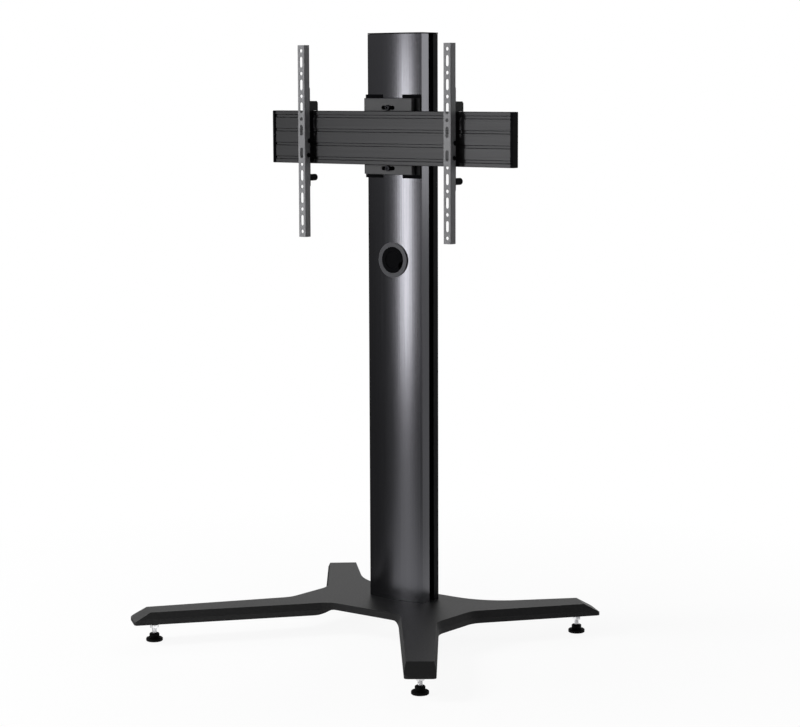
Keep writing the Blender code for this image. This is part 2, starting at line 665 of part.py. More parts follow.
def build_cover(finish):
    cover = link("rear_cover", prism_mesh([cover_outline()], COLUMN_FOOT, COLUMN_TOP, "Z"), PARTS,
                 finish["black"])
    low = COLUMN_FOOT - OVERSHOOT
    exit_slot = box_mesh((-EXIT_WIDTH / 2, COVER_BACK_Y - COVER_WALL * 2, low),
                         (EXIT_WIDTH / 2, COVER_BACK_Y + COVER_WALL, COLUMN_FOOT + EXIT_HEIGHT))
    combine(cover, "DIFFERENCE", [exit_slot])


def build_top_cap(finish):
    side = HALF - STEP_IN
    corner = COLUMN_FRONT_Y + COLUMN_SAGITTA + SIDE_DEPTH
    right = [(HALF, corner), (side, corner + STEP_IN), (side, COVER_BACK_Y - COVER_CORNER / 2),
             (side - COVER_CORNER / 2, COVER_BACK_Y)]
    low = COLUMN_TOP + GAP
    plate = prism_mesh([front_arc(HALF, 0, 24) + right + mirrored(right)], low, low + CAP_THICKNESS, "Z")
    cap = link("top_cap", plate, PARTS, finish["black"])
    front = COLUMN_FRONT_Y + FLANGE_PROUD + COLUMN_SAGITTA + WALL
    plug = box_mesh((-OPENING_X + GAP, front, COLUMN_TOP - CAP_PLUG),
                    (OPENING_X - GAP, front + CAP_PLUG, low + CAP_THICKNESS / 2))
    combine(cap, "UNION", [plug])


# Cable grommet


def build_grommet(finish):
    """A round ring in the column's front, its flange shaped to the curve, and a turning lid with a notch."""
    centre = (0, 0)
    place = (0, COLUMN_FRONT_Y, GROMMET_HEIGHT)
    face = -FLANGE_PROUD
    barrel = GROMMET_HOLE_RADIUS - GAP
    bore = barrel - RING_WALL
    lip = bore - RING_WALL / 2
    lip_front = RING_DEPTH - RING_WALL / 2
    flange = prism_mesh([circle(centre, FLANGE_RADIUS, 36), circle(centre, bore, 24)], face,
                        face + RING_DEPTH / 2, "Y")
    ring = link("grommet_ring", flange, PARTS, finish["ring"])
    ring.location = place
    inside = [(x, y - COLUMN_FRONT_Y) for x, y in front_arc(HALF, -GAP, 16)]
    curve = prism_mesh([inside + [(HALF, SECTION_DEPTH), (-HALF, SECTION_DEPTH)]], -2 * FLANGE_RADIUS,
                       2 * FLANGE_RADIUS, "Z")
    combine(ring, "DIFFERENCE", [curve], place)
    tube_loops = [circle(centre, barrel, 24), circle(centre, bore, 24)]
    stop_loops = [circle(centre, barrel - GAP, 24), circle(centre, lip, 24)]
    combine(ring, "UNION", [prism_mesh(tube_loops, face + FLANGE_PROUD / 2, RING_DEPTH, "Y"),
                            prism_mesh(stop_loops, lip_front, RING_DEPTH - GAP, "Y")], place)

    outer = bore - GAP
    inner = outer - COVER_WALL
    front = -LID_PROUD
    back = RING_DEPTH - RING_WALL / 2 - GAP
    profile = [(0, front + LID_FACE_DEPTH), (LID_FACE_RADIUS - LID_EDGE, front + LID_FACE_DEPTH),
               (LID_FACE_RADIUS, front), (outer - LID_EDGE, front), (outer, front + LID_EDGE), (outer, back),
               (inner, back), (inner, front + LID_THICKNESS), (0, front + LID_THICKNESS)]
    lid = link("grommet_cap", turned_mesh(profile, 32, ALONG_BACK), PARTS, finish["black"])
    lid.location = place
    notch_centre = (math.cos(NOTCH_ANGLE) * outer, math.sin(NOTCH_ANGLE) * outer)
    notch = rod_mesh(NOTCH_RADIUS, -2 * LID_PROUD, 2 * RING_DEPTH, "Y", notch_centre, 20)
    combine(lid, "DIFFERENCE", [notch], place)


# Bracket


def build_mount_plate(finish):
    """The plate behind the rail, with a flange down each side of the column."""
    half = FLANGE_INNER_X + PLATE_THICKNESS
    back = PLATE_FRONT_Y + FLANGE_LENGTH
    right = [(half, PLATE_FRONT_Y), (half, back), (FLANGE_INNER_X, back), (FLANGE_INNER_X, PLATE_BACK_Y)]
    low = RAIL_HEIGHT_Z - FLANGE_HEIGHT / 2
    channel = prism_mesh([right + mirrored(right)], low, low + FLANGE_HEIGHT, "Z")
    plate = link("mount_plate", channel, PARTS, finish["hook"])
    combine(plate, "UNION", [box_mesh((-PLATE_WIDTH / 2, PLATE_FRONT_Y, PLATE_BOTTOM),
                                      (PLATE_WIDTH / 2, PLATE_BACK_Y, PLATE_TOP))])
    through = (PLATE_FRONT_Y - OVERSHOOT, PLATE_BACK_Y + OVERSHOOT)
    holes = [rod_mesh(BOLT_RADIUS + HOLE_PLAY, *through, "Y", (0, z), 16) for z in claw_bolt_heights()]
    for _, z, sign in jaw_screws():
        ends = sorted((sign * (FLANGE_INNER_X - OVERSHOOT), sign * (half + OVERSHOOT)))
        holes.append(rod_mesh(BOLT_RADIUS + HOLE_PLAY, *ends, "X", (GROOVE_MID_Y, z), 16))
    combine(plate, "DIFFERENCE", holes)


def claw_bolt_heights():
    return RAIL_BOTTOM - CLAW_BOLT_RISE, RAIL_TOP + CLAW_BOLT_RISE


def jaw_screws():
    """Name, height and side of each screw that presses a jaw into its groove."""
    found = []
    for side, sign in (("left", -1), ("right", 1)):
        for place, z in (("lower", -JAW_SCREW_SPACING / 2), ("upper", JAW_SCREW_SPACING / 2)):
            found.append((f"jaw_screw_{side}_{place}", RAIL_HEIGHT_Z + z, sign))
    return found


def build_jaws(finish):
    """A jaw for each groove of the column, with two screws that press it in from the plate's flange."""
    front = COLUMN_FRONT_Y + GROOVE_START
    back = COLUMN_FRONT_Y + GROOVE_END
    nose = HALF - STEP_IN - GROOVE_DEPTH + JAW_PLAY
    outer = FLANGE_INNER_X - GAP
    side = HALF + GAP
    section = [(nose, front + GAP), (side, front + GAP), (side, front - JAW_LIP), (outer, front - JAW_LIP),
               (outer, back - GAP), (nose, back - GAP)]
    low = RAIL_HEIGHT_Z - JAW_HEIGHT / 2
    for name, sign in (("clamp_jaw_left", -1), ("clamp_jaw_right", 1)):
        outline = section if sign > 0 else mirrored(section)
        jaw = link(name, prism_mesh([outline], low, low + JAW_HEIGHT, "Z"), PARTS, finish["bracket"])
        holes = []
        for _, z, screw_side in jaw_screws():
            if screw_side == sign:
                ends = sorted((sign * (nose - OVERSHOOT), sign * (outer + OVERSHOOT)))
                holes.append(rod_mesh(BOLT_RADIUS + HOLE_PLAY, *ends, "X", (GROOVE_MID_Y, z), 16))
        combine(jaw, "DIFFERENCE", holes)
    seat = FLANGE_INNER_X + PLATE_THICKNESS + GAP
    for name, z, sign in jaw_screws():
        build_bolt(name, finish["screw"], (sign * seat, GROOVE_MID_Y, z), (-sign, 0, 0), seat - nose,
                   BOLT_RADIUS, BOLT_HEAD_RADIUS, BOLT_HEAD)


def build_saddle_pads(finish):
    """Black pads that fill the wedge between the flat plate and the column's curved front."""
    curve = [point for point in front_arc(HALF, -GAP, 24) if point[0] > PAD_INNER_X]
    flat = PLATE_BACK_Y + GAP
    section = [(PAD_INNER_X, flat), (HALF, flat)] + list(reversed(curve))
    start_y = COLUMN_FRONT_Y + FRONT_RADIUS - math.sqrt((FRONT_RADIUS + GAP) ** 2 - PAD_INNER_X ** 2)
    section.append((PAD_INNER_X, start_y))
    for name, sign in (("saddle_pad_left", -1), ("saddle_pad_right", 1)):
        outline = section if sign > 0 else mirrored(section)
        link(name, prism_mesh([outline], PLATE_BOTTOM - PAD_OVERHANG, PLATE_TOP + PAD_OVERHANG, "Z"), PARTS,
             finish["black"])


def build_claws(finish):
    """A bar above and below the rail, each with a tongue in the rail's edge groove and a bolt in a slot."""
    tongue = KEY_WIDTH / 2 - GAP
    for name, edge, up, height in (("top", RAIL_TOP, 1, CLAW_HEIGHT_TOP),
                                   ("bottom", RAIL_BOTTOM, -1, CLAW_HEIGHT_BOTTOM)):
        near = edge + up * GAP
        far = near + up * height
        tip = edge - up * (KEY_DEPTH - GAP)
        section = [(CLAW_FRONT_Y, near), (KEY_Y - tongue, near), (KEY_Y - tongue, tip),
                   (KEY_Y + tongue, tip), (KEY_Y + tongue, near + up * GAP),
                   (CLAW_BACK_Y, near + up * GAP), (CLAW_BACK_Y, far), (CLAW_FRONT_Y + CLAW_EDGE, far),
                   (CLAW_FRONT_Y, far - up * CLAW_EDGE)]
        claw = link(f"rail_claw_{name}", prism_mesh([section], -CLAW_WIDTH / 2, CLAW_WIDTH / 2, "X"), PARTS,
                    finish["bracket"])
        z = edge + up * CLAW_BOLT_RISE
        slot = slot_outline((0, z), CLAW_SLOT, CLAW_SLOT_WIDTH, False)
        cutter = prism_mesh([slot], CLAW_FRONT_Y - OVERSHOOT, CLAW_BACK_Y + OVERSHOOT, "Y")
        combine(claw, "DIFFERENCE", [cutter])
        build_bolt(f"rail_claw_bolt_{name}", finish["screw"], (0, CLAW_FRONT_Y - GAP, z), (0, 1, 0),
                   CLAW_DEPTH + PLATE_THICKNESS, BOLT_RADIUS, BOLT_HEAD_RADIUS, BOLT_HEAD)


# Rail


def rail_outline():
    """The rail's section in (y, z): grooves along the face and a key groove in the top and bottom edges."""
    chamfer = FLUTE_DEPTH / 2
    face = [(RAIL_FRONT_Y + chamfer, RAIL_BOTTOM), (RAIL_FRONT_Y, RAIL_BOTTOM + chamfer)]
    for flute in FLUTES:
        z = RAIL_HEIGHT_Z + flute
        half = FLUTE_WIDTH / 2
        face += [(RAIL_FRONT_Y, z - half), (RAIL_FRONT_Y + FLUTE_DEPTH, z - half + chamfer),
                 (RAIL_FRONT_Y + FLUTE_DEPTH, z + half - chamfer), (RAIL_FRONT_Y, z + half)]
    face += [(RAIL_FRONT_Y, RAIL_TOP - chamfer), (RAIL_FRONT_Y + chamfer, RAIL_TOP)]
    half = KEY_WIDTH / 2
    key_floor = RAIL_TOP - KEY_DEPTH
    top = [(KEY_Y - half, RAIL_TOP), (KEY_Y - half, key_floor), (KEY_Y + half, key_floor),
           (KEY_Y + half, RAIL_TOP), (RAIL_BACK_Y, RAIL_TOP)]
    bottom = [(y, 2 * RAIL_HEIGHT_Z - z) for y, z in reversed(top)]
    return face + top + bottom


def rail_cells(inset):
    """The rail's three hollow cells as (y low, z low, y high, z high), made smaller by inset."""
    y_low = RAIL_FRONT_Y + FRONT_WALL + inset
    y_high = RAIL_BACK_Y - RAIL_WALL - inset
    low = RAIL_BOTTOM + KEY_DEPTH + RAIL_WALL
    high = RAIL_TOP - KEY_DEPTH - RAIL_WALL
    pitch = (high - low + RAIL_WALL) / 3
    floors = [low + number * pitch for number in range(3)]
    return [(y_low, floor + inset, y_high, floor + pitch - RAIL_WALL - inset) for floor in floors]


def build_rail(finish):
    cells = [[(a, b), (c, b), (c, d), (a, d)] for a, b, c, d in rail_cells(0)]
    half = RAIL_LENGTH / 2
    profile = prism_mesh([rail_outline()] + cells, RAIL_SHIFT - half, RAIL_SHIFT + half, "X")
    link("rail_profile", profile, PARTS, finish["rail"])
    front = RAIL_FRONT_Y - END_CAP_PROUD
    radius = END_CAP_PROUD
    edge = rounded([(front, RAIL_BOTTOM, radius), (RAIL_BACK_Y, RAIL_BOTTOM, radius),
                    (RAIL_BACK_Y, RAIL_TOP, radius), (front, RAIL_TOP, radius)])
    for name, sign in (("rail_end_cap_left", -1), ("rail_end_cap_right", 1)):
        ends = sorted(RAIL_SHIFT + sign * (half + GAP + depth) for depth in (0, END_CAP))
        cap = link(name, prism_mesh([edge], *ends, "X"), PARTS, finish["black"])
        plugs = []
        for a, b, c, d in rail_cells(GAP):
            low, high = sorted(RAIL_SHIFT + sign * (half + depth) for depth in (-END_PLUG, END_CAP / 2))
            plugs.append(box_mesh((low, a, b), (high, c, d)))
        combine(cap, "UNION", plugs)


# Arms


def build_arm(side, x, finish):
    """One slotted arm with the bracket that hooks it on the rail, its pivot, tilt lock and safety lock."""
    build_arm_channel(side, x, finish)
    build_hook_bracket(side, x, finish)
    ear_inner = x + HOOK_WIDTH / 2 - HOOK_PLATE
    seat = x + ARM_WIDTH / 2 + GAP
    for part, y, z in (("pivot", PIVOT_Y, PIVOT_Z), ("tilt", TILT_Y, TILT_Z)):
        nut_outer = ear_inner - GAP
        build_bolt(f"{part}_bolt_{side}", finish["screw"], (seat, y, z), (-1, 0, 0),
                   seat - nut_outer + ARM_NUT + GAP, ARM_BOLT_RADIUS, ARM_HEAD_RADIUS, ARM_HEAD)
        hexagon = circle((0, 0), ARM_NUT_RADIUS, 6)
        loops = [hexagon, circle((0, 0), ARM_BOLT_RADIUS + HOLE_PLAY, 12)]
        nut = link(f"{part}_nut_{side}", prism_mesh(loops, -ARM_NUT, 0, "X"), PARTS, finish["screw"])
        nut.location = (nut_outer, y, z)
    build_lock(side, x, finish)


def build_arm_channel(side, x, finish):
    """The channel's section is a front wall, a deep flange on the right and a short lip on the left."""
    left = x - ARM_WIDTH / 2
    right = x + ARM_WIDTH / 2
    front = ARM_FRONT_Y
    section = rounded([
        (left, front, ARM_BEND), (right, front, ARM_BEND), (right, front + ARM_FLANGE, 0),
        (right - ARM_WALL, front + ARM_FLANGE, 0), (right - ARM_WALL, front + ARM_WALL, 0),
        (left + ARM_WALL, front + ARM_WALL, 0), (left + ARM_WALL, front + ARM_LIP, 0),
        (left, front + ARM_LIP, 0)])
    low = ARM_CENTRE_Z - ARM_LENGTH / 2
    channel = prism_mesh([section], low, low + ARM_LENGTH, "Z")
    arm = link(f"arm_channel_{side}", channel, PARTS, finish["arm"])
    cuts = []
    through = (front - OVERSHOOT, front + ARM_WALL * 2)
    last = math.floor((ARM_LENGTH / 2 - SLOT_MARGIN) / SLOT_PITCH)
    for number in range(-last, last + 1):
        centre_z = ARM_CENTRE_Z + number * SLOT_PITCH
        if number != 0:
            cuts.append(rod_mesh(SLOT_WIDTH / 2, *through, "Y", (x, centre_z), 12))
        if number != last:
            slot = slot_outline((x, centre_z + SLOT_PITCH / 2), SLOT_LENGTH, SLOT_WIDTH, True)
            cuts.append(prism_mesh([slot], *through, "Y"))
    for y, z in ((PIVOT_Y, PIVOT_Z), (TILT_Y, TILT_Z)):
        flange = (right - 2 * ARM_WALL, right + OVERSHOOT)
        cuts.append(rod_mesh(ARM_BOLT_RADIUS + HOLE_PLAY, *flange, "X", (y, z), 12))
    combine(arm, "DIFFERENCE", cuts)
    set_origin(arm, (x, PIVOT_Y, PIVOT_Z))


def arc_slot_outline():
    """The tilt bolt's path in (y, z) round the pivot, as wide as the bolt needs."""
    reach = math.hypot(TILT_Y - PIVOT_Y, TILT_RADIUS)
    start_angle = math.atan2(TILT_RADIUS, TILT_Y - PIVOT_Y)
    half = ARM_BOLT_RADIUS + HOLE_PLAY
    margin = math.radians(0.3)
    begin = start_angle - margin
    end = start_angle + TILT_ANGLE + margin
    centre = (PIVOT_Y, PIVOT_Z)
    first = (PIVOT_Y + reach * math.cos(begin), PIVOT_Z + reach * math.sin(begin))
    last = (PIVOT_Y + reach * math.cos(end), PIVOT_Z + reach * math.sin(end))
    outline = arc(first, half, begin - math.pi, begin, 6)[:-1]
    outline += arc(centre, reach + half, begin, end, 4)
    outline += arc(last, half, end, end + math.pi, 6)[1:-1]
    outline += arc(centre, reach - half, end, begin, 4)[:-1]
    return outline


def build_hook_bracket(side, x, finish):
    """A folded bracket: an upright web, two sides that hook over the rail, and an ear for the bolts."""
    half = HOOK_WIDTH / 2
    low = RAIL_HEIGHT_Z - HOOK_LENGTH / 2
    web_back = WEB_Y + HOOK_PLATE
    lock_low = LOCK_Z
    lock_high = LOCK_Z + LOCK_TRAVEL
    slot_width = 2 * (LOCK_NECK + HOLE_PLAY)
    slot = slot_outline((x, (lock_low + lock_high) / 2), LOCK_TRAVEL + slot_width, slot_width, True)
    edge = rounded([(x - half, low, half / 2), (x + half, low, half / 2),
                    (x + half, low + HOOK_LENGTH, half / 2), (x - half, low + HOOK_LENGTH, half / 2)])
    web = prism_mesh([edge, slot], WEB_Y, web_back, "Y")
    bracket = link(f"hook_bracket_{side}", web, PARTS, finish["hook"])
    hook_back = RAIL_BACK_Y + GAP
    hook_end = RAIL_TOP - HOOK_DROP
    hook_top = RAIL_TOP + HOOK_RISE
    start = RAIL_BOTTOM + SIDE_BOTTOM
    nose = hook_back + HOOK_NOSE
    hook = [(WEB_Y, start), (RAIL_FRONT_Y - GAP, start), (RAIL_FRONT_Y - GAP, RAIL_TOP + GAP),
            (hook_back, RAIL_TOP + GAP), (hook_back, hook_end), (nose, hook_end),
            (nose, hook_top - HOOK_DROP / 2), (nose - HOOK_DROP / 2, hook_top), (WEB_Y, hook_top)]
    ear = [(web_back, PIVOT_Z - EAR_RADIUS)]
    ear += [(y, z) for y, z in arc((PIVOT_Y, PIVOT_Z), EAR_RADIUS, -math.pi / 2, -math.pi, 6)]
    ear += [(PIVOT_Y - EAR_RADIUS, PIVOT_Z + EAR_HEIGHT - EAR_RADIUS / 2),
            (PIVOT_Y - EAR_RADIUS / 2, PIVOT_Z + EAR_HEIGHT), (web_back, PIVOT_Z + EAR_HEIGHT)]
    inner = half - HOOK_PLATE
    combine(bracket, "UNION", [
        prism_mesh([hook], x - half, x - inner, "X"), prism_mesh([hook], x + inner, x + half, "X"),
        prism_mesh([ear], x + inner, x + half, "X")])
    through = (x + inner - OVERSHOOT, x + half + OVERSHOOT)
    bore = rod_mesh(ARM_BOLT_RADIUS + HOLE_PLAY, *through, "X", (PIVOT_Y, PIVOT_Z), 12)
    path = prism_mesh([arc_slot_outline()], *through, "X")
    combine(bracket, "DIFFERENCE", [bore, path])


def build_lock(side, x, finish):
    """A round lock that slides in the web's slot and comes up under the rail's bottom edge."""
    collar_front = WEB_Y - GAP - LOCK_COLLAR_THICKNESS
    collar_back = WEB_Y - GAP
    body_front = WEB_Y + HOOK_PLATE + GAP
    back = RAIL_FRONT_Y + LOCK_BACK
    profile = [(0, collar_front), (LOCK_COLLAR, collar_front), (LOCK_COLLAR, collar_back),
               (LOCK_NECK, collar_back), (LOCK_NECK, body_front), (LOCK_RADIUS - LOCK_EDGE, body_front),
               (LOCK_RADIUS, body_front + LOCK_EDGE), (LOCK_RADIUS, back - LOCK_EDGE),
               (LOCK_RADIUS - LOCK_EDGE, back),
               (0, back)]
    local = [(radius, y - body_front) for radius, y in profile]
    lock = link(f"lock_slider_{side}", turned_mesh(local, 16, ALONG_BACK), PARTS, finish["black"])
    lock.location = (x, body_front, LOCK_Z)


def set_origin(made, point):
    """Move an object's origin to a point without moving its shape."""
    made.data.transform(Matrix.Translation([-value for value in point]))
    made.location = point


def build():
    start()
    finish = finishes()
    build_base(finish)
    build_anchor(finish)
    build_feet(finish)
    build_column(finish)
    build_grommet(finish)
    build_mount_plate(finish)
    build_jaws(finish)
    build_saddle_pads(finish)
    build_claws(finish)
    build_rail(finish)
    build_arm("left", ARM_X[0], finish)
    build_arm("right", ARM_X[1], finish)


build()
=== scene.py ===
"""Looks for the freestanding screen stand: finishes, finer pieces, floor, light and camera."""

import math

import bmesh
import bpy
from mathutils import Matrix, Vector


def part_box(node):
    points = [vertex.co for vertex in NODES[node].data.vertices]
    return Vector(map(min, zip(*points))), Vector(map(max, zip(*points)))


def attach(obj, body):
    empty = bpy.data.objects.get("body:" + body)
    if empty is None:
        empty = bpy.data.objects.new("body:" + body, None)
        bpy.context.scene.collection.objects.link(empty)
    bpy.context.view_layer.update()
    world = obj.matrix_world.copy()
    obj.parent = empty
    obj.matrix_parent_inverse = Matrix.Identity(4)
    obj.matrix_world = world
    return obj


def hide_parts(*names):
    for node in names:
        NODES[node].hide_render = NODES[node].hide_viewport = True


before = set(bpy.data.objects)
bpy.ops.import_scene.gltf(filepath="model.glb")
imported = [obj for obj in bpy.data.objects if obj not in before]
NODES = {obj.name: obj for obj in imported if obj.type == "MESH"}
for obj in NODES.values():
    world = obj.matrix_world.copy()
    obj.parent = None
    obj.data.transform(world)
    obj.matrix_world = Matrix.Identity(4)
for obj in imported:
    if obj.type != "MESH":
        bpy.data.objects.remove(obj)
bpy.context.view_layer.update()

# Camera: its place, its direction and its focal length in pixels of an 800 by 727 picture
CAMERA_PLACE = (3.03925, -3.84727, 1.22168)
CAMERA_AZIMUTH = math.radians(37.566)
CAMERA_PITCH = math.radians(7.096)
CAMERA_ROLL = math.radians(-0.200)
FOCAL_PIXELS = 2262.90
PICTURE_WIDTH = 800
SENSOR = 36
CAMERA_SIGHT = 100

# Edges: the width of the rounding, by node and on all the others, and how it is made
EDGE_OF_NODE = {
    "base_frame": 0.0010, "rear_cover": 0.0006, "grommet_ring": 0.0005, "mount_plate": 0.0005,
    "rail_profile": 0.0004, "grommet_cap": 0.0004, "top_cap": 0.0004,
}
EDGE = 0.0003
EDGE_SEGMENTS = 2
SHARP_ANGLE = math.radians(32)
WELD_REACH = 0.00001
KEEPS_ITS_EDGES = ("column_profile",)

# Levelling stud: a ball below, a neck, the thread and a plain end
STUD_RADIUS = 0.005
STUD_CHAMFER = 0.0004
THREAD_PITCH = 0.0015
THREAD_DEPTH = 0.00075
THREAD_CREST = (0.38, 0.62)    # where the crest starts and ends, in pitches
THREAD_RUNOUT = 0.3            # from the last turn's lower edge to the plain end, in pitches
NECK_REACH = 1.25              # from the ball's middle to the thread, in radii of the ball
BALL_STEPS = 8
ROUND_STEPS = 24

# Lock nut
NUT_BORE = 0.0053
NUT_CORNER_DROP = 0.0009
NUT_FACE_SHARE = 0.97          # radius of the flat face, as a share of half the width across the flats
NUT_STEPS = 48

# Finishes
NOISE_SPREAD = (0.3, 0.7)         # nearly all values of a noise lie between these
UPRIGHT_TO_FLAT = (0.35, 0.80)    # upward part of a face's direction

# Lamps
KEY_AZIMUTH = -26                 # of the lamp that draws the bright line on the column, in degrees
LAMP_AIM = Vector((0, 0, 0.75))

# Surroundings: the light that they give
WHITE = (1, 1, 1, 1)
SKY_COLOUR = (0.75, 0.75, 0.77, 1)
SKY_STRENGTH = 0.13

# Surroundings as reflections show them, by direction. Each of these, and of the floor's below, is a ramp:
# as the value goes from the first number to the second, the result goes from the third to the fourth
SKY_FRONT_TO_BACK = (-0.35, 0.35, 0.65, 1.0)
SKY_UPWARD = (0.35, 0.70, 1.0, 0.06)
SKY_LEFT_TO_RIGHT = (-0.60, -0.20, 0.79, 1.0)

# Floor: the share of plain white in it grows with the distance from the middle, and the rest takes the shadow
FLOOR_COLOUR = (0.90, 0.90, 0.90, 1)
FLOOR_ROUGHNESS = 0.9
FLOOR_REACH = 30
FLOOR_WHITE = (0.55, 1.6, 0.92, 1.0)

# Floor in reflections, where it glows as painted reflections: dim, but bright behind, with a painted pool of
# light along the key lamp's line and just in front of the stand
FLOOR_GLOW = 0.14
FLOOR_FRONT_TO_BACK = (0.40, 1.30, 0.0, 0.8)
FLOOR_LEFT_TO_RIGHT = (-0.60, -0.30, 0.2, 1.0)
KEY_LINE = (0.02, 0.42, 1.8, 0.0)
NEAR_MIDDLE = (0.12, -0.12, 0)
NEAR_REACH = (0.58, 0.68, 0.9, 0.0)
NEAR_IN_FRONT = (-0.32, -0.24, 1.0, 0.0)


def socket(node, name, value):
    node.inputs[name].default_value = value


def ramp(tree, value, low, high, at_low, at_high):
    """A straight change from at_low to at_high as value goes from low to high."""
    made = tree.nodes.new("ShaderNodeMapRange")
    for name, number in (("From Min", low), ("From Max", high), ("To Min", at_low), ("To Max", at_high)):
        socket(made, name, number)
    tree.links.new(value, made.inputs["Value"])
    return made.outputs["Result"]


def combine(tree, operation, first, second):
    """The result of an operation on two values, of which either may be a plain number."""
    made = tree.nodes.new("ShaderNodeMath")
    made.operation = operation
    for target, source in zip(made.inputs, (first, second)):
        if isinstance(source, (int, float)):
            target.default_value = source
        else:
            tree.links.new(source, target)
    return made.outputs[0]


def separate(tree, vector):
    """The X, Y and Z of a vector, by name."""
    made = tree.nodes.new("ShaderNodeSeparateXYZ")
    tree.links.new(vector, made.inputs[0])
    return made.outputs


def distance_from(tree, place, start):
    """How far place is from the fixed point start."""
    made = tree.nodes.new("ShaderNodeVectorMath")
    made.operation = "DISTANCE"
    made.inputs[1].default_value = start
    tree.links.new(place, made.inputs[0])
    return made.outputs["Value"]


def mix_shaders(tree, share, first, second, output):
    """Shows first where share is 0 and second where it is 1."""
    mix = tree.nodes.new("ShaderNodeMixShader")
    tree.links.new(share, mix.inputs[0])
    tree.links.new(first.outputs[0], mix.inputs[1])
    tree.links.new(second.outputs[0], mix.inputs[2])
    tree.links.new(mix.outputs[0], output.inputs["Surface"])


def add_object(name, data):
    made = bpy.data.objects.new(name, data)
    bpy.context.scene.collection.objects.link(made)
    return made


class Finish:
    """A node material built step by step round one Principled shader."""

    def __init__(self, name, colour, roughness, metallic=0.0):
        self.made = bpy.data.materials.new(name)
        self.made.use_nodes = True
        self.tree = self.made.node_tree
        self.shader = self.tree.nodes["Principled BSDF"]
        socket(self.shader, "Base Color", (*colour, 1))
        socket(self.shader, "Roughness", roughness)
        socket(self.shader, "Metallic", metallic)
        self.colour = colour
        self.roughness = roughness
        self.place = self.tree.nodes.new("ShaderNodeTexCoord").outputs["Object"]

    def node(self, kind, **inputs):
        made = self.tree.nodes.new(kind)
        for name, value in inputs.items():
            socket(made, name, value)
        return made

    def link(self, output, target):
        self.tree.links.new(output, target)

    def noise(self, scale, stretch=(1, 1, 1), detail=3.0):
        mapping = self.node("ShaderNodeMapping", Scale=stretch)
        self.link(self.place, mapping.inputs["Vector"])
        made = self.node("ShaderNodeTexNoise", Scale=scale, Detail=detail)
        self.link(mapping.outputs["Vector"], made.inputs["Vector"])
        return made.outputs["Fac"]

    def span(self, value, low, high):
        """A noise value spread over low to high."""
        return ramp(self.tree, value, *NOISE_SPREAD, low, high)

    def vary_colour(self, value, amount):
        """From darker to lighter than the base colour by amount, as value goes up."""
        mix = self.tree.nodes.new("ShaderNodeMix")
        mix.data_type = "RGBA"
        factor, darker, lighter = mix.inputs[0], mix.inputs[6], mix.inputs[7]
        darker.default_value = (*[share * (1 - amount) for share in self.colour], 1)
        lighter.default_value = (*[min(1, share * (1 + amount)) for share in self.colour], 1)
        self.link(self.span(value, 0, 1), factor)
        self.link(mix.outputs[2], self.shader.inputs["Base Color"])

    def vary_roughness(self, value, amount):
        varied = self.span(value, self.roughness - amount, self.roughness + amount)
        self.link(varied, self.shader.inputs["Roughness"])

    def coarser_sides(self, value, amount, sides):
        """As vary_roughness, but faces that stand upright have the roughness sides."""
        normal = self.tree.nodes.new("ShaderNodeTexCoord").outputs["Normal"]
        upward = separate(self.tree, normal)["Z"]
        middle = ramp(self.tree, upward, *UPRIGHT_TO_FLAT, sides, self.roughness)
        varied = combine(self.tree, "ADD", middle, self.span(value, -amount, amount))
        self.link(varied, self.shader.inputs["Roughness"])

    def bump(self, value, strength, distance):
        made = self.node("ShaderNodeBump", Strength=strength, Distance=distance)
        self.link(value, made.inputs["Height"])
        self.link(made.outputs["Normal"], self.shader.inputs["Normal"])


def powder_coat(name, colour, roughness, gloss, grain=900, sides=None):
    """Sprayed powder coat: fine orange peel, a very slightly uneven tone and perhaps coarser sides."""
    finish = Finish(name, colour, roughness)
    socket(finish.shader, "Specular IOR Level", gloss)
    finish.bump(finish.noise(grain, detail=2.0), strength=0.15, distance=0.0002)
    finish.vary_colour(finish.noise(scale=5), amount=0.06)
    finish.coarser_sides(finish.noise(scale=240), amount=0.03, sides=roughness if sides is None else sides)
    return finish.made


def anodised(name, colour, roughness, along, metallic=1.0):
    """Anodised extrusion: faint draw lines along the profile."""
    stretch = {"X": (0.01, 1, 1), "Z": (1, 1, 0.01)}[along]
    finish = Finish(name, colour, roughness, metallic)
    finish.bump(finish.noise(1400, stretch, detail=2.0), strength=0.04, distance=0.0001)
    finish.vary_roughness(finish.noise(500, stretch), amount=0.02)
    finish.vary_colour(finish.noise(160, stretch), amount=0.04)
    return finish.made


def moulded(name, colour, roughness, gloss):
    """Moulded plastic with a fine spark-eroded grain."""
    finish = Finish(name, colour, roughness)
    socket(finish.shader, "Specular IOR Level", gloss)
    finish.bump(finish.noise(1600, detail=1.0), strength=0.12, distance=0.0001)
    finish.vary_roughness(finish.noise(scale=60), amount=0.04)
    finish.vary_colour(finish.noise(scale=12), amount=0.10)
    return finish.made


def plated(name, colour, roughness):
    """Plated or blackened metal, a little cloudy."""
    finish = Finish(name, colour, roughness, metallic=1.0)
    finish.vary_roughness(finish.noise(scale=180), amount=0.08)
    finish.vary_colour(finish.noise(scale=70), amount=0.08)
    finish.bump(finish.noise(900, stretch=(1, 1, 0.1)), strength=0.08, distance=0.0001)
    return finish.made


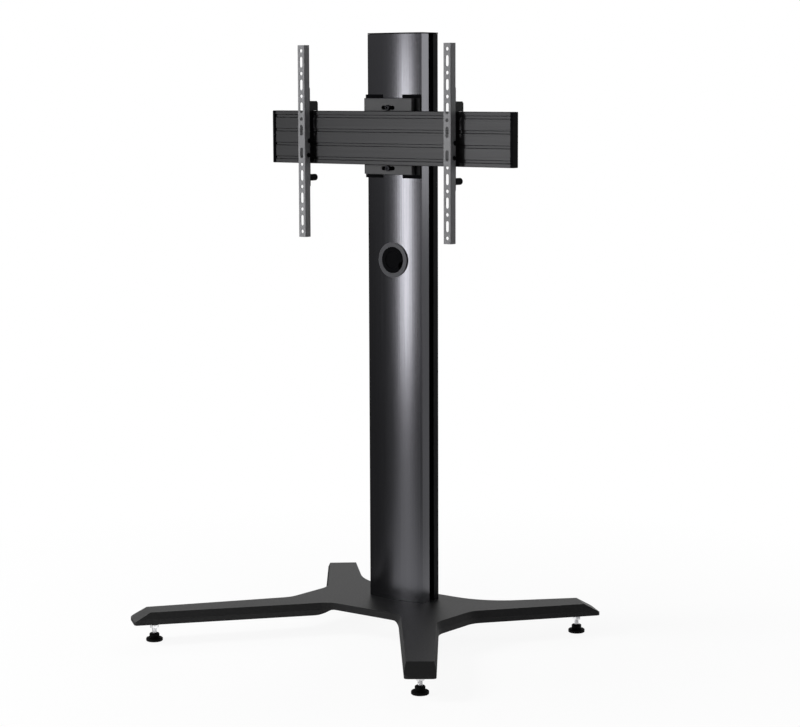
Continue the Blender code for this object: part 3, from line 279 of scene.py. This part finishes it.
FINISHES = {
    "base": powder_coat("base_powder_coat", (0.006, 0.006, 0.0065), 0.47, gloss=0.46, grain=700, sides=0.85),
    "column": anodised("column_anodised", (0.066, 0.066, 0.072), 0.22, along="Z"),
    "rail": anodised("rail_anodised", (0.050, 0.050, 0.0515), 0.46, along="X"),
    "bracket": powder_coat("bracket_coat", (0.045, 0.045, 0.047), 0.45, gloss=0.3),
    "arm": powder_coat("arm_coat", (0.200, 0.200, 0.206), 0.42, gloss=0.1),
    "hook": powder_coat("hook_coat", (0.006, 0.006, 0.0065), 0.45, gloss=0.05),
    "black": moulded("black_plastic", (0.0025, 0.0025, 0.003), 0.45, gloss=0.012),
    "cover": moulded("cover_plastic", (0.012, 0.012, 0.013), 0.50, gloss=0.03),
    # The grommet ring is a real flange, but its tone, darker than the column's, also paints the shade round
    # the cable hole
    "ring": anodised("ring_anodised_and_painted_shade", (0.040, 0.040, 0.043), 0.33, along="Z", metallic=0.9),
    "steel": plated("zinc_plate", (0.75, 0.75, 0.76), 0.30),
    "screw": plated("black_oxide", (0.016, 0.016, 0.018), 0.38),
    "rubber": moulded("pad_rubber", (0.003, 0.003, 0.003), 0.60, gloss=0.05),
}

# Each node's finish, by the start of its name: the first start that fits counts
FINISH_BY_START = {
    "base_frame": "base",
    "column_anchor_plate": "steel", "column_screw": "screw", "column_profile": "column",
    "foot_lock_nut": "screw", "foot_stud": "steel", "foot_pad": "rubber",
    "rear_cover": "cover", "top_cap": "black", "grommet_ring": "ring", "grommet_cap": "black",
    "mount_plate": "hook", "clamp_jaw": "bracket", "jaw_screw": "screw", "saddle_pad": "black",
    "rail_profile": "rail", "rail_end_cap": "black", "rail_claw_bolt": "screw", "rail_claw": "bracket",
    "arm_channel": "arm", "hook_bracket": "hook", "lock_slider": "black",
    "pivot_": "screw", "tilt_": "screw",
}


def finish_of(name):
    for start, key in FINISH_BY_START.items():
        if name.startswith(start):
            return FINISHES[key]
    raise ValueError(f"no finish is named for {name}")


def dress_nodes():
    """Every CAD node gets its finish and welded edges, and nearly all get a small rounding."""
    for name, node in NODES.items():
        node.data.materials.clear()
        node.data.materials.append(finish_of(name))
        weld = node.modifiers.new("weld", "WELD")
        weld.merge_threshold = WELD_REACH
        if name in KEEPS_ITS_EDGES:
            continue
        bevel = node.modifiers.new("edges", "BEVEL")
        bevel.width = EDGE_OF_NODE.get(name, EDGE)
        bevel.segments = EDGE_SEGMENTS
        bevel.limit_method = "ANGLE"
        bevel.angle_limit = SHARP_ANGLE
        bevel.use_clamp_overlap = True
        bevel.harden_normals = True


def on_circle(place, radius, angle, height):
    return place[0] + radius * math.cos(angle), place[1] + radius * math.sin(angle), height


def circle(work, place, height, radius, steps=ROUND_STEPS):
    """One ring of points; radius is a number or a function of the angle."""
    ring = []
    for step in range(steps):
        angle = 2 * math.pi * step / steps
        reach = radius(angle) if callable(radius) else radius
        ring.append(work.verts.new(on_circle(place, reach, angle, height)))
    return ring


def skin(work, rings):
    """Faces from each ring to the next."""
    for lower, upper in zip(rings, rings[1:]):
        for step in range(len(lower)):
            after = (step + 1) % len(lower)
            work.faces.new((lower[step], lower[after], upper[after], upper[step]))


def finer_piece(work, name, finish, node):
    """Turns the work into an object with smooth round faces that stands in for a CAD node."""
    bmesh.ops.recalc_face_normals(work, faces=work.faces)
    mesh = bpy.data.meshes.new(name)
    work.to_mesh(mesh)
    work.free()
    mesh.materials.append(FINISHES[finish])
    mesh.shade_smooth()
    mesh.set_sharp_from_angle(angle=SHARP_ANGLE)
    made = add_object(name, mesh)
    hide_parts(node)
    return made


def threaded_stud(name, node):
    """The levelling foot's stud with its ball and its screw thread."""
    low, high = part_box(node)
    place = ((low[0] + high[0]) / 2, (low[1] + high[1]) / 2)
    root = STUD_RADIUS - THREAD_DEPTH
    ball = (high[0] - low[0]) / 2
    middle = low[2] + ball
    start = middle + ball * NECK_REACH
    work = bmesh.new()

    # Ball and neck
    lowest = -math.pi / 2
    arc = math.acos(root / ball) - lowest
    rings = []
    for step in range(1, BALL_STEPS + 1):
        angle = lowest + arc * step / BALL_STEPS
        rings.append(circle(work, place, middle + ball * math.sin(angle), ball * math.cos(angle)))
    rings.append(circle(work, place, start + THREAD_PITCH / 2, root))
    skin(work, rings)
    work.faces.new(rings[0])

    # Thread: a strip that climbs round the stud, three faces wide
    turns = int((high[2] - start - THREAD_PITCH) / THREAD_PITCH)
    profile = ((0.0, root), (THREAD_CREST[0], STUD_RADIUS), (THREAD_CREST[1], STUD_RADIUS), (1.0, root))
    before = None
    for step in range(turns * ROUND_STEPS + 1):
        angle = 2 * math.pi * step / ROUND_STEPS
        height = start + THREAD_PITCH * step / ROUND_STEPS
        row = [work.verts.new(on_circle(place, radius, angle, height + THREAD_PITCH * share))
               for share, radius in profile]
        if before:
            for one in range(len(row) - 1):
                work.faces.new((before[one], row[one], row[one + 1], before[one + 1]))
        before = row

    # Plain end with its chamfer
    rings = [circle(work, place, start + THREAD_PITCH * (turns + THREAD_RUNOUT), root),
             circle(work, place, high[2] - STUD_CHAMFER, root),
             circle(work, place, high[2], root - STUD_CHAMFER)]
    skin(work, rings)
    work.faces.new(rings[-1])
    return finer_piece(work, name, "steel", node)


def chamfered_nut(name, node):
    """The lock nut with its corners turned off on both faces."""
    low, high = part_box(node)
    place = ((low[0] + high[0]) / 2, (low[1] + high[1]) / 2)
    flat = (high[1] - low[1]) / 2
    corner = (high[0] - low[0]) / 2
    if corner < flat:
        raise ValueError("the nut's corners don't point along X")

    def side(angle):
        """Reach of the hexagon at this angle, with a corner at zero."""
        return flat / math.cos(angle % (math.pi / 3) - math.pi / 6)

    face = flat * NUT_FACE_SHARE
    outline = [(low[2], NUT_BORE), (low[2], face), (low[2] + NUT_CORNER_DROP, side),
               (high[2] - NUT_CORNER_DROP, side), (high[2], face), (high[2], NUT_BORE)]
    work = bmesh.new()
    rings = [circle(work, place, height, radius, NUT_STEPS) for height, radius in outline]
    skin(work, rings + rings[:1])
    return finer_piece(work, name, "steel", node)


def finer_feet():
    """A threaded stud and a chamfered lock nut in place of the plain ones, at each foot."""
    for node in sorted(NODES):
        if node.startswith("foot_stud_"):
            foot = node.removeprefix("foot_stud_")
            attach(threaded_stud(f"stud_thread_{foot}", node), f"stud_{foot}")
        if node.startswith("foot_lock_nut_"):
            foot = node.removeprefix("foot_lock_nut_")
            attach(chamfered_nut(f"lock_nut_{foot}", node), "stand")


def surroundings():
    """White to the camera, soft to the finishes, and uneven in reflections."""
    world = bpy.data.worlds.new("studio")
    bpy.context.scene.world = world
    world.use_nodes = True
    tree = world.node_tree
    tree.nodes.clear()
    output = tree.nodes.new("ShaderNodeOutputWorld")
    light = tree.nodes.new("ShaderNodeBackground")
    socket(light, "Color", SKY_COLOUR)
    socket(light, "Strength", SKY_STRENGTH)
    seen = tree.nodes.new("ShaderNodeBackground")
    socket(seen, "Color", WHITE)
    path = tree.nodes.new("ShaderNodeLightPath").outputs
    direction = separate(tree, tree.nodes.new("ShaderNodeTexCoord").outputs["Generated"])
    glow = ramp(tree, direction["Y"], *SKY_FRONT_TO_BACK)
    glow = combine(tree, "MULTIPLY", glow, ramp(tree, direction["Z"], *SKY_UPWARD))
    glow = combine(tree, "MULTIPLY", glow, ramp(tree, direction["X"], *SKY_LEFT_TO_RIGHT))
    tree.links.new(combine(tree, "MAXIMUM", path["Is Camera Ray"], glow), seen.inputs["Strength"])
    shown = combine(tree, "MAXIMUM", path["Is Camera Ray"], path["Is Glossy Ray"])
    mix_shaders(tree, shown, light, seen, output)


def floor_glow(tree, place):
    """How bright each place on the floor looks in reflections."""
    along = separate(tree, place)
    behind = combine(tree, "MULTIPLY", ramp(tree, along["Y"], *FLOOR_FRONT_TO_BACK),
                     ramp(tree, along["X"], *FLOOR_LEFT_TO_RIGHT))
    near = combine(tree, "MULTIPLY", ramp(tree, distance_from(tree, place, NEAR_MIDDLE), *NEAR_REACH),
                   ramp(tree, along["Y"], *NEAR_IN_FRONT))
    key = math.radians(KEY_AZIMUTH)
    across = combine(tree, "ADD", combine(tree, "MULTIPLY", along["X"], math.cos(key)),
                     combine(tree, "MULTIPLY", along["Y"], math.sin(key)))
    line = ramp(tree, combine(tree, "ABSOLUTE", across, 0.0), *KEY_LINE)
    glow = combine(tree, "MAXIMUM", behind, FLOOR_GLOW)
    glow = combine(tree, "MAXIMUM", glow, line)
    return combine(tree, "MAXIMUM", glow, near)


def floor_material():
    """White in the picture, with a faint shadow, and in reflections an uneven glow that paints the
    reflections of a lit floor.
    """
    surface = bpy.data.materials.new("floor_white")
    surface.use_nodes = True
    tree = surface.node_tree
    shader = tree.nodes["Principled BSDF"]
    socket(shader, "Base Color", FLOOR_COLOUR)
    socket(shader, "Roughness", FLOOR_ROUGHNESS)
    socket(shader, "Specular IOR Level", 0.0)
    place = tree.nodes.new("ShaderNodeTexCoord").outputs["Object"]
    path = tree.nodes.new("ShaderNodeLightPath").outputs
    mirrored = combine(tree, "MULTIPLY", path["Is Glossy Ray"], floor_glow(tree, place))
    glow = tree.nodes.new("ShaderNodeEmission")
    socket(glow, "Color", WHITE)
    tree.links.new(combine(tree, "MAXIMUM", path["Is Camera Ray"], mirrored), glow.inputs["Strength"])
    white = ramp(tree, distance_from(tree, place, (0, 0, 0)), *FLOOR_WHITE)
    share = combine(tree, "MULTIPLY", path["Is Camera Ray"], white)
    share = combine(tree, "MAXIMUM", share, path["Is Glossy Ray"])
    mix_shaders(tree, share, shader, glow, tree.nodes["Material Output"])
    return surface


def floor():
    mesh = bpy.data.meshes.new("floor")
    work = bmesh.new()
    bmesh.ops.create_grid(work, x_segments=1, y_segments=1, size=FLOOR_REACH)
    work.to_mesh(mesh)
    work.free()
    mesh.materials.append(floor_material())
    made = add_object("floor", mesh)


def lamp(name, azimuth, distance, height, size, power):
    """A rectangular area lamp; azimuth 0 stands in front, positive to the right."""
    data = bpy.data.lights.new(name, "AREA")
    data.shape = "RECTANGLE"
    data.size, data.size_y = size
    data.energy = power
    made = add_object(name, data)
    angle = math.radians(azimuth)
    made.location = (distance * math.sin(angle), -distance * math.cos(angle), height)
    made.rotation_euler = (LAMP_AIM - made.location).to_track_quat("-Z", "Y").to_euler()
    return made


def lamps():
    """Strips that show as lines in the metal, and soft lamps, of which two stay out of reflections."""
    lamp("key_strip", KEY_AZIMUTH, distance=3.0, height=0.78, size=(0.50, 1.10), power=28)
    front = lamp("front_soft", -52, distance=3.2, height=2.5, size=(1.2, 1.2), power=110)
    lamp("top_soft", 10, distance=0.6, height=3.6, size=(2.5, 2.5), power=9)
    lamp("rear_right_strip", 146, distance=3.2, height=1.42, size=(0.6, 1.3), power=9)
    back = lamp("back_soft", -162, distance=3.4, height=2.1, size=(1.2, 1.2), power=34)
    front.visible_glossy = False
    back.visible_glossy = False


def camera():
    """The camera at the photograph's angle."""
    data = bpy.data.cameras.new("camera")
    data.sensor_fit = "HORIZONTAL"
    data.sensor_width = SENSOR
    data.lens = FOCAL_PIXELS / PICTURE_WIDTH * SENSOR
    data.clip_end = CAMERA_SIGHT
    made = add_object("camera", data)
    turn = (Matrix.Rotation(CAMERA_AZIMUTH, 4, "Z")
            @ Matrix.Rotation(math.pi / 2 - CAMERA_PITCH, 4, "X")
            @ Matrix.Rotation(CAMERA_ROLL, 4, "Z"))
    made.matrix_world = Matrix.Translation(CAMERA_PLACE) @ turn
    bpy.context.scene.camera = made


camera()
dress_nodes()
finer_feet()
surroundings()
floor()
lamps()
bpy.context.scene.view_settings.view_transform = "Standard"
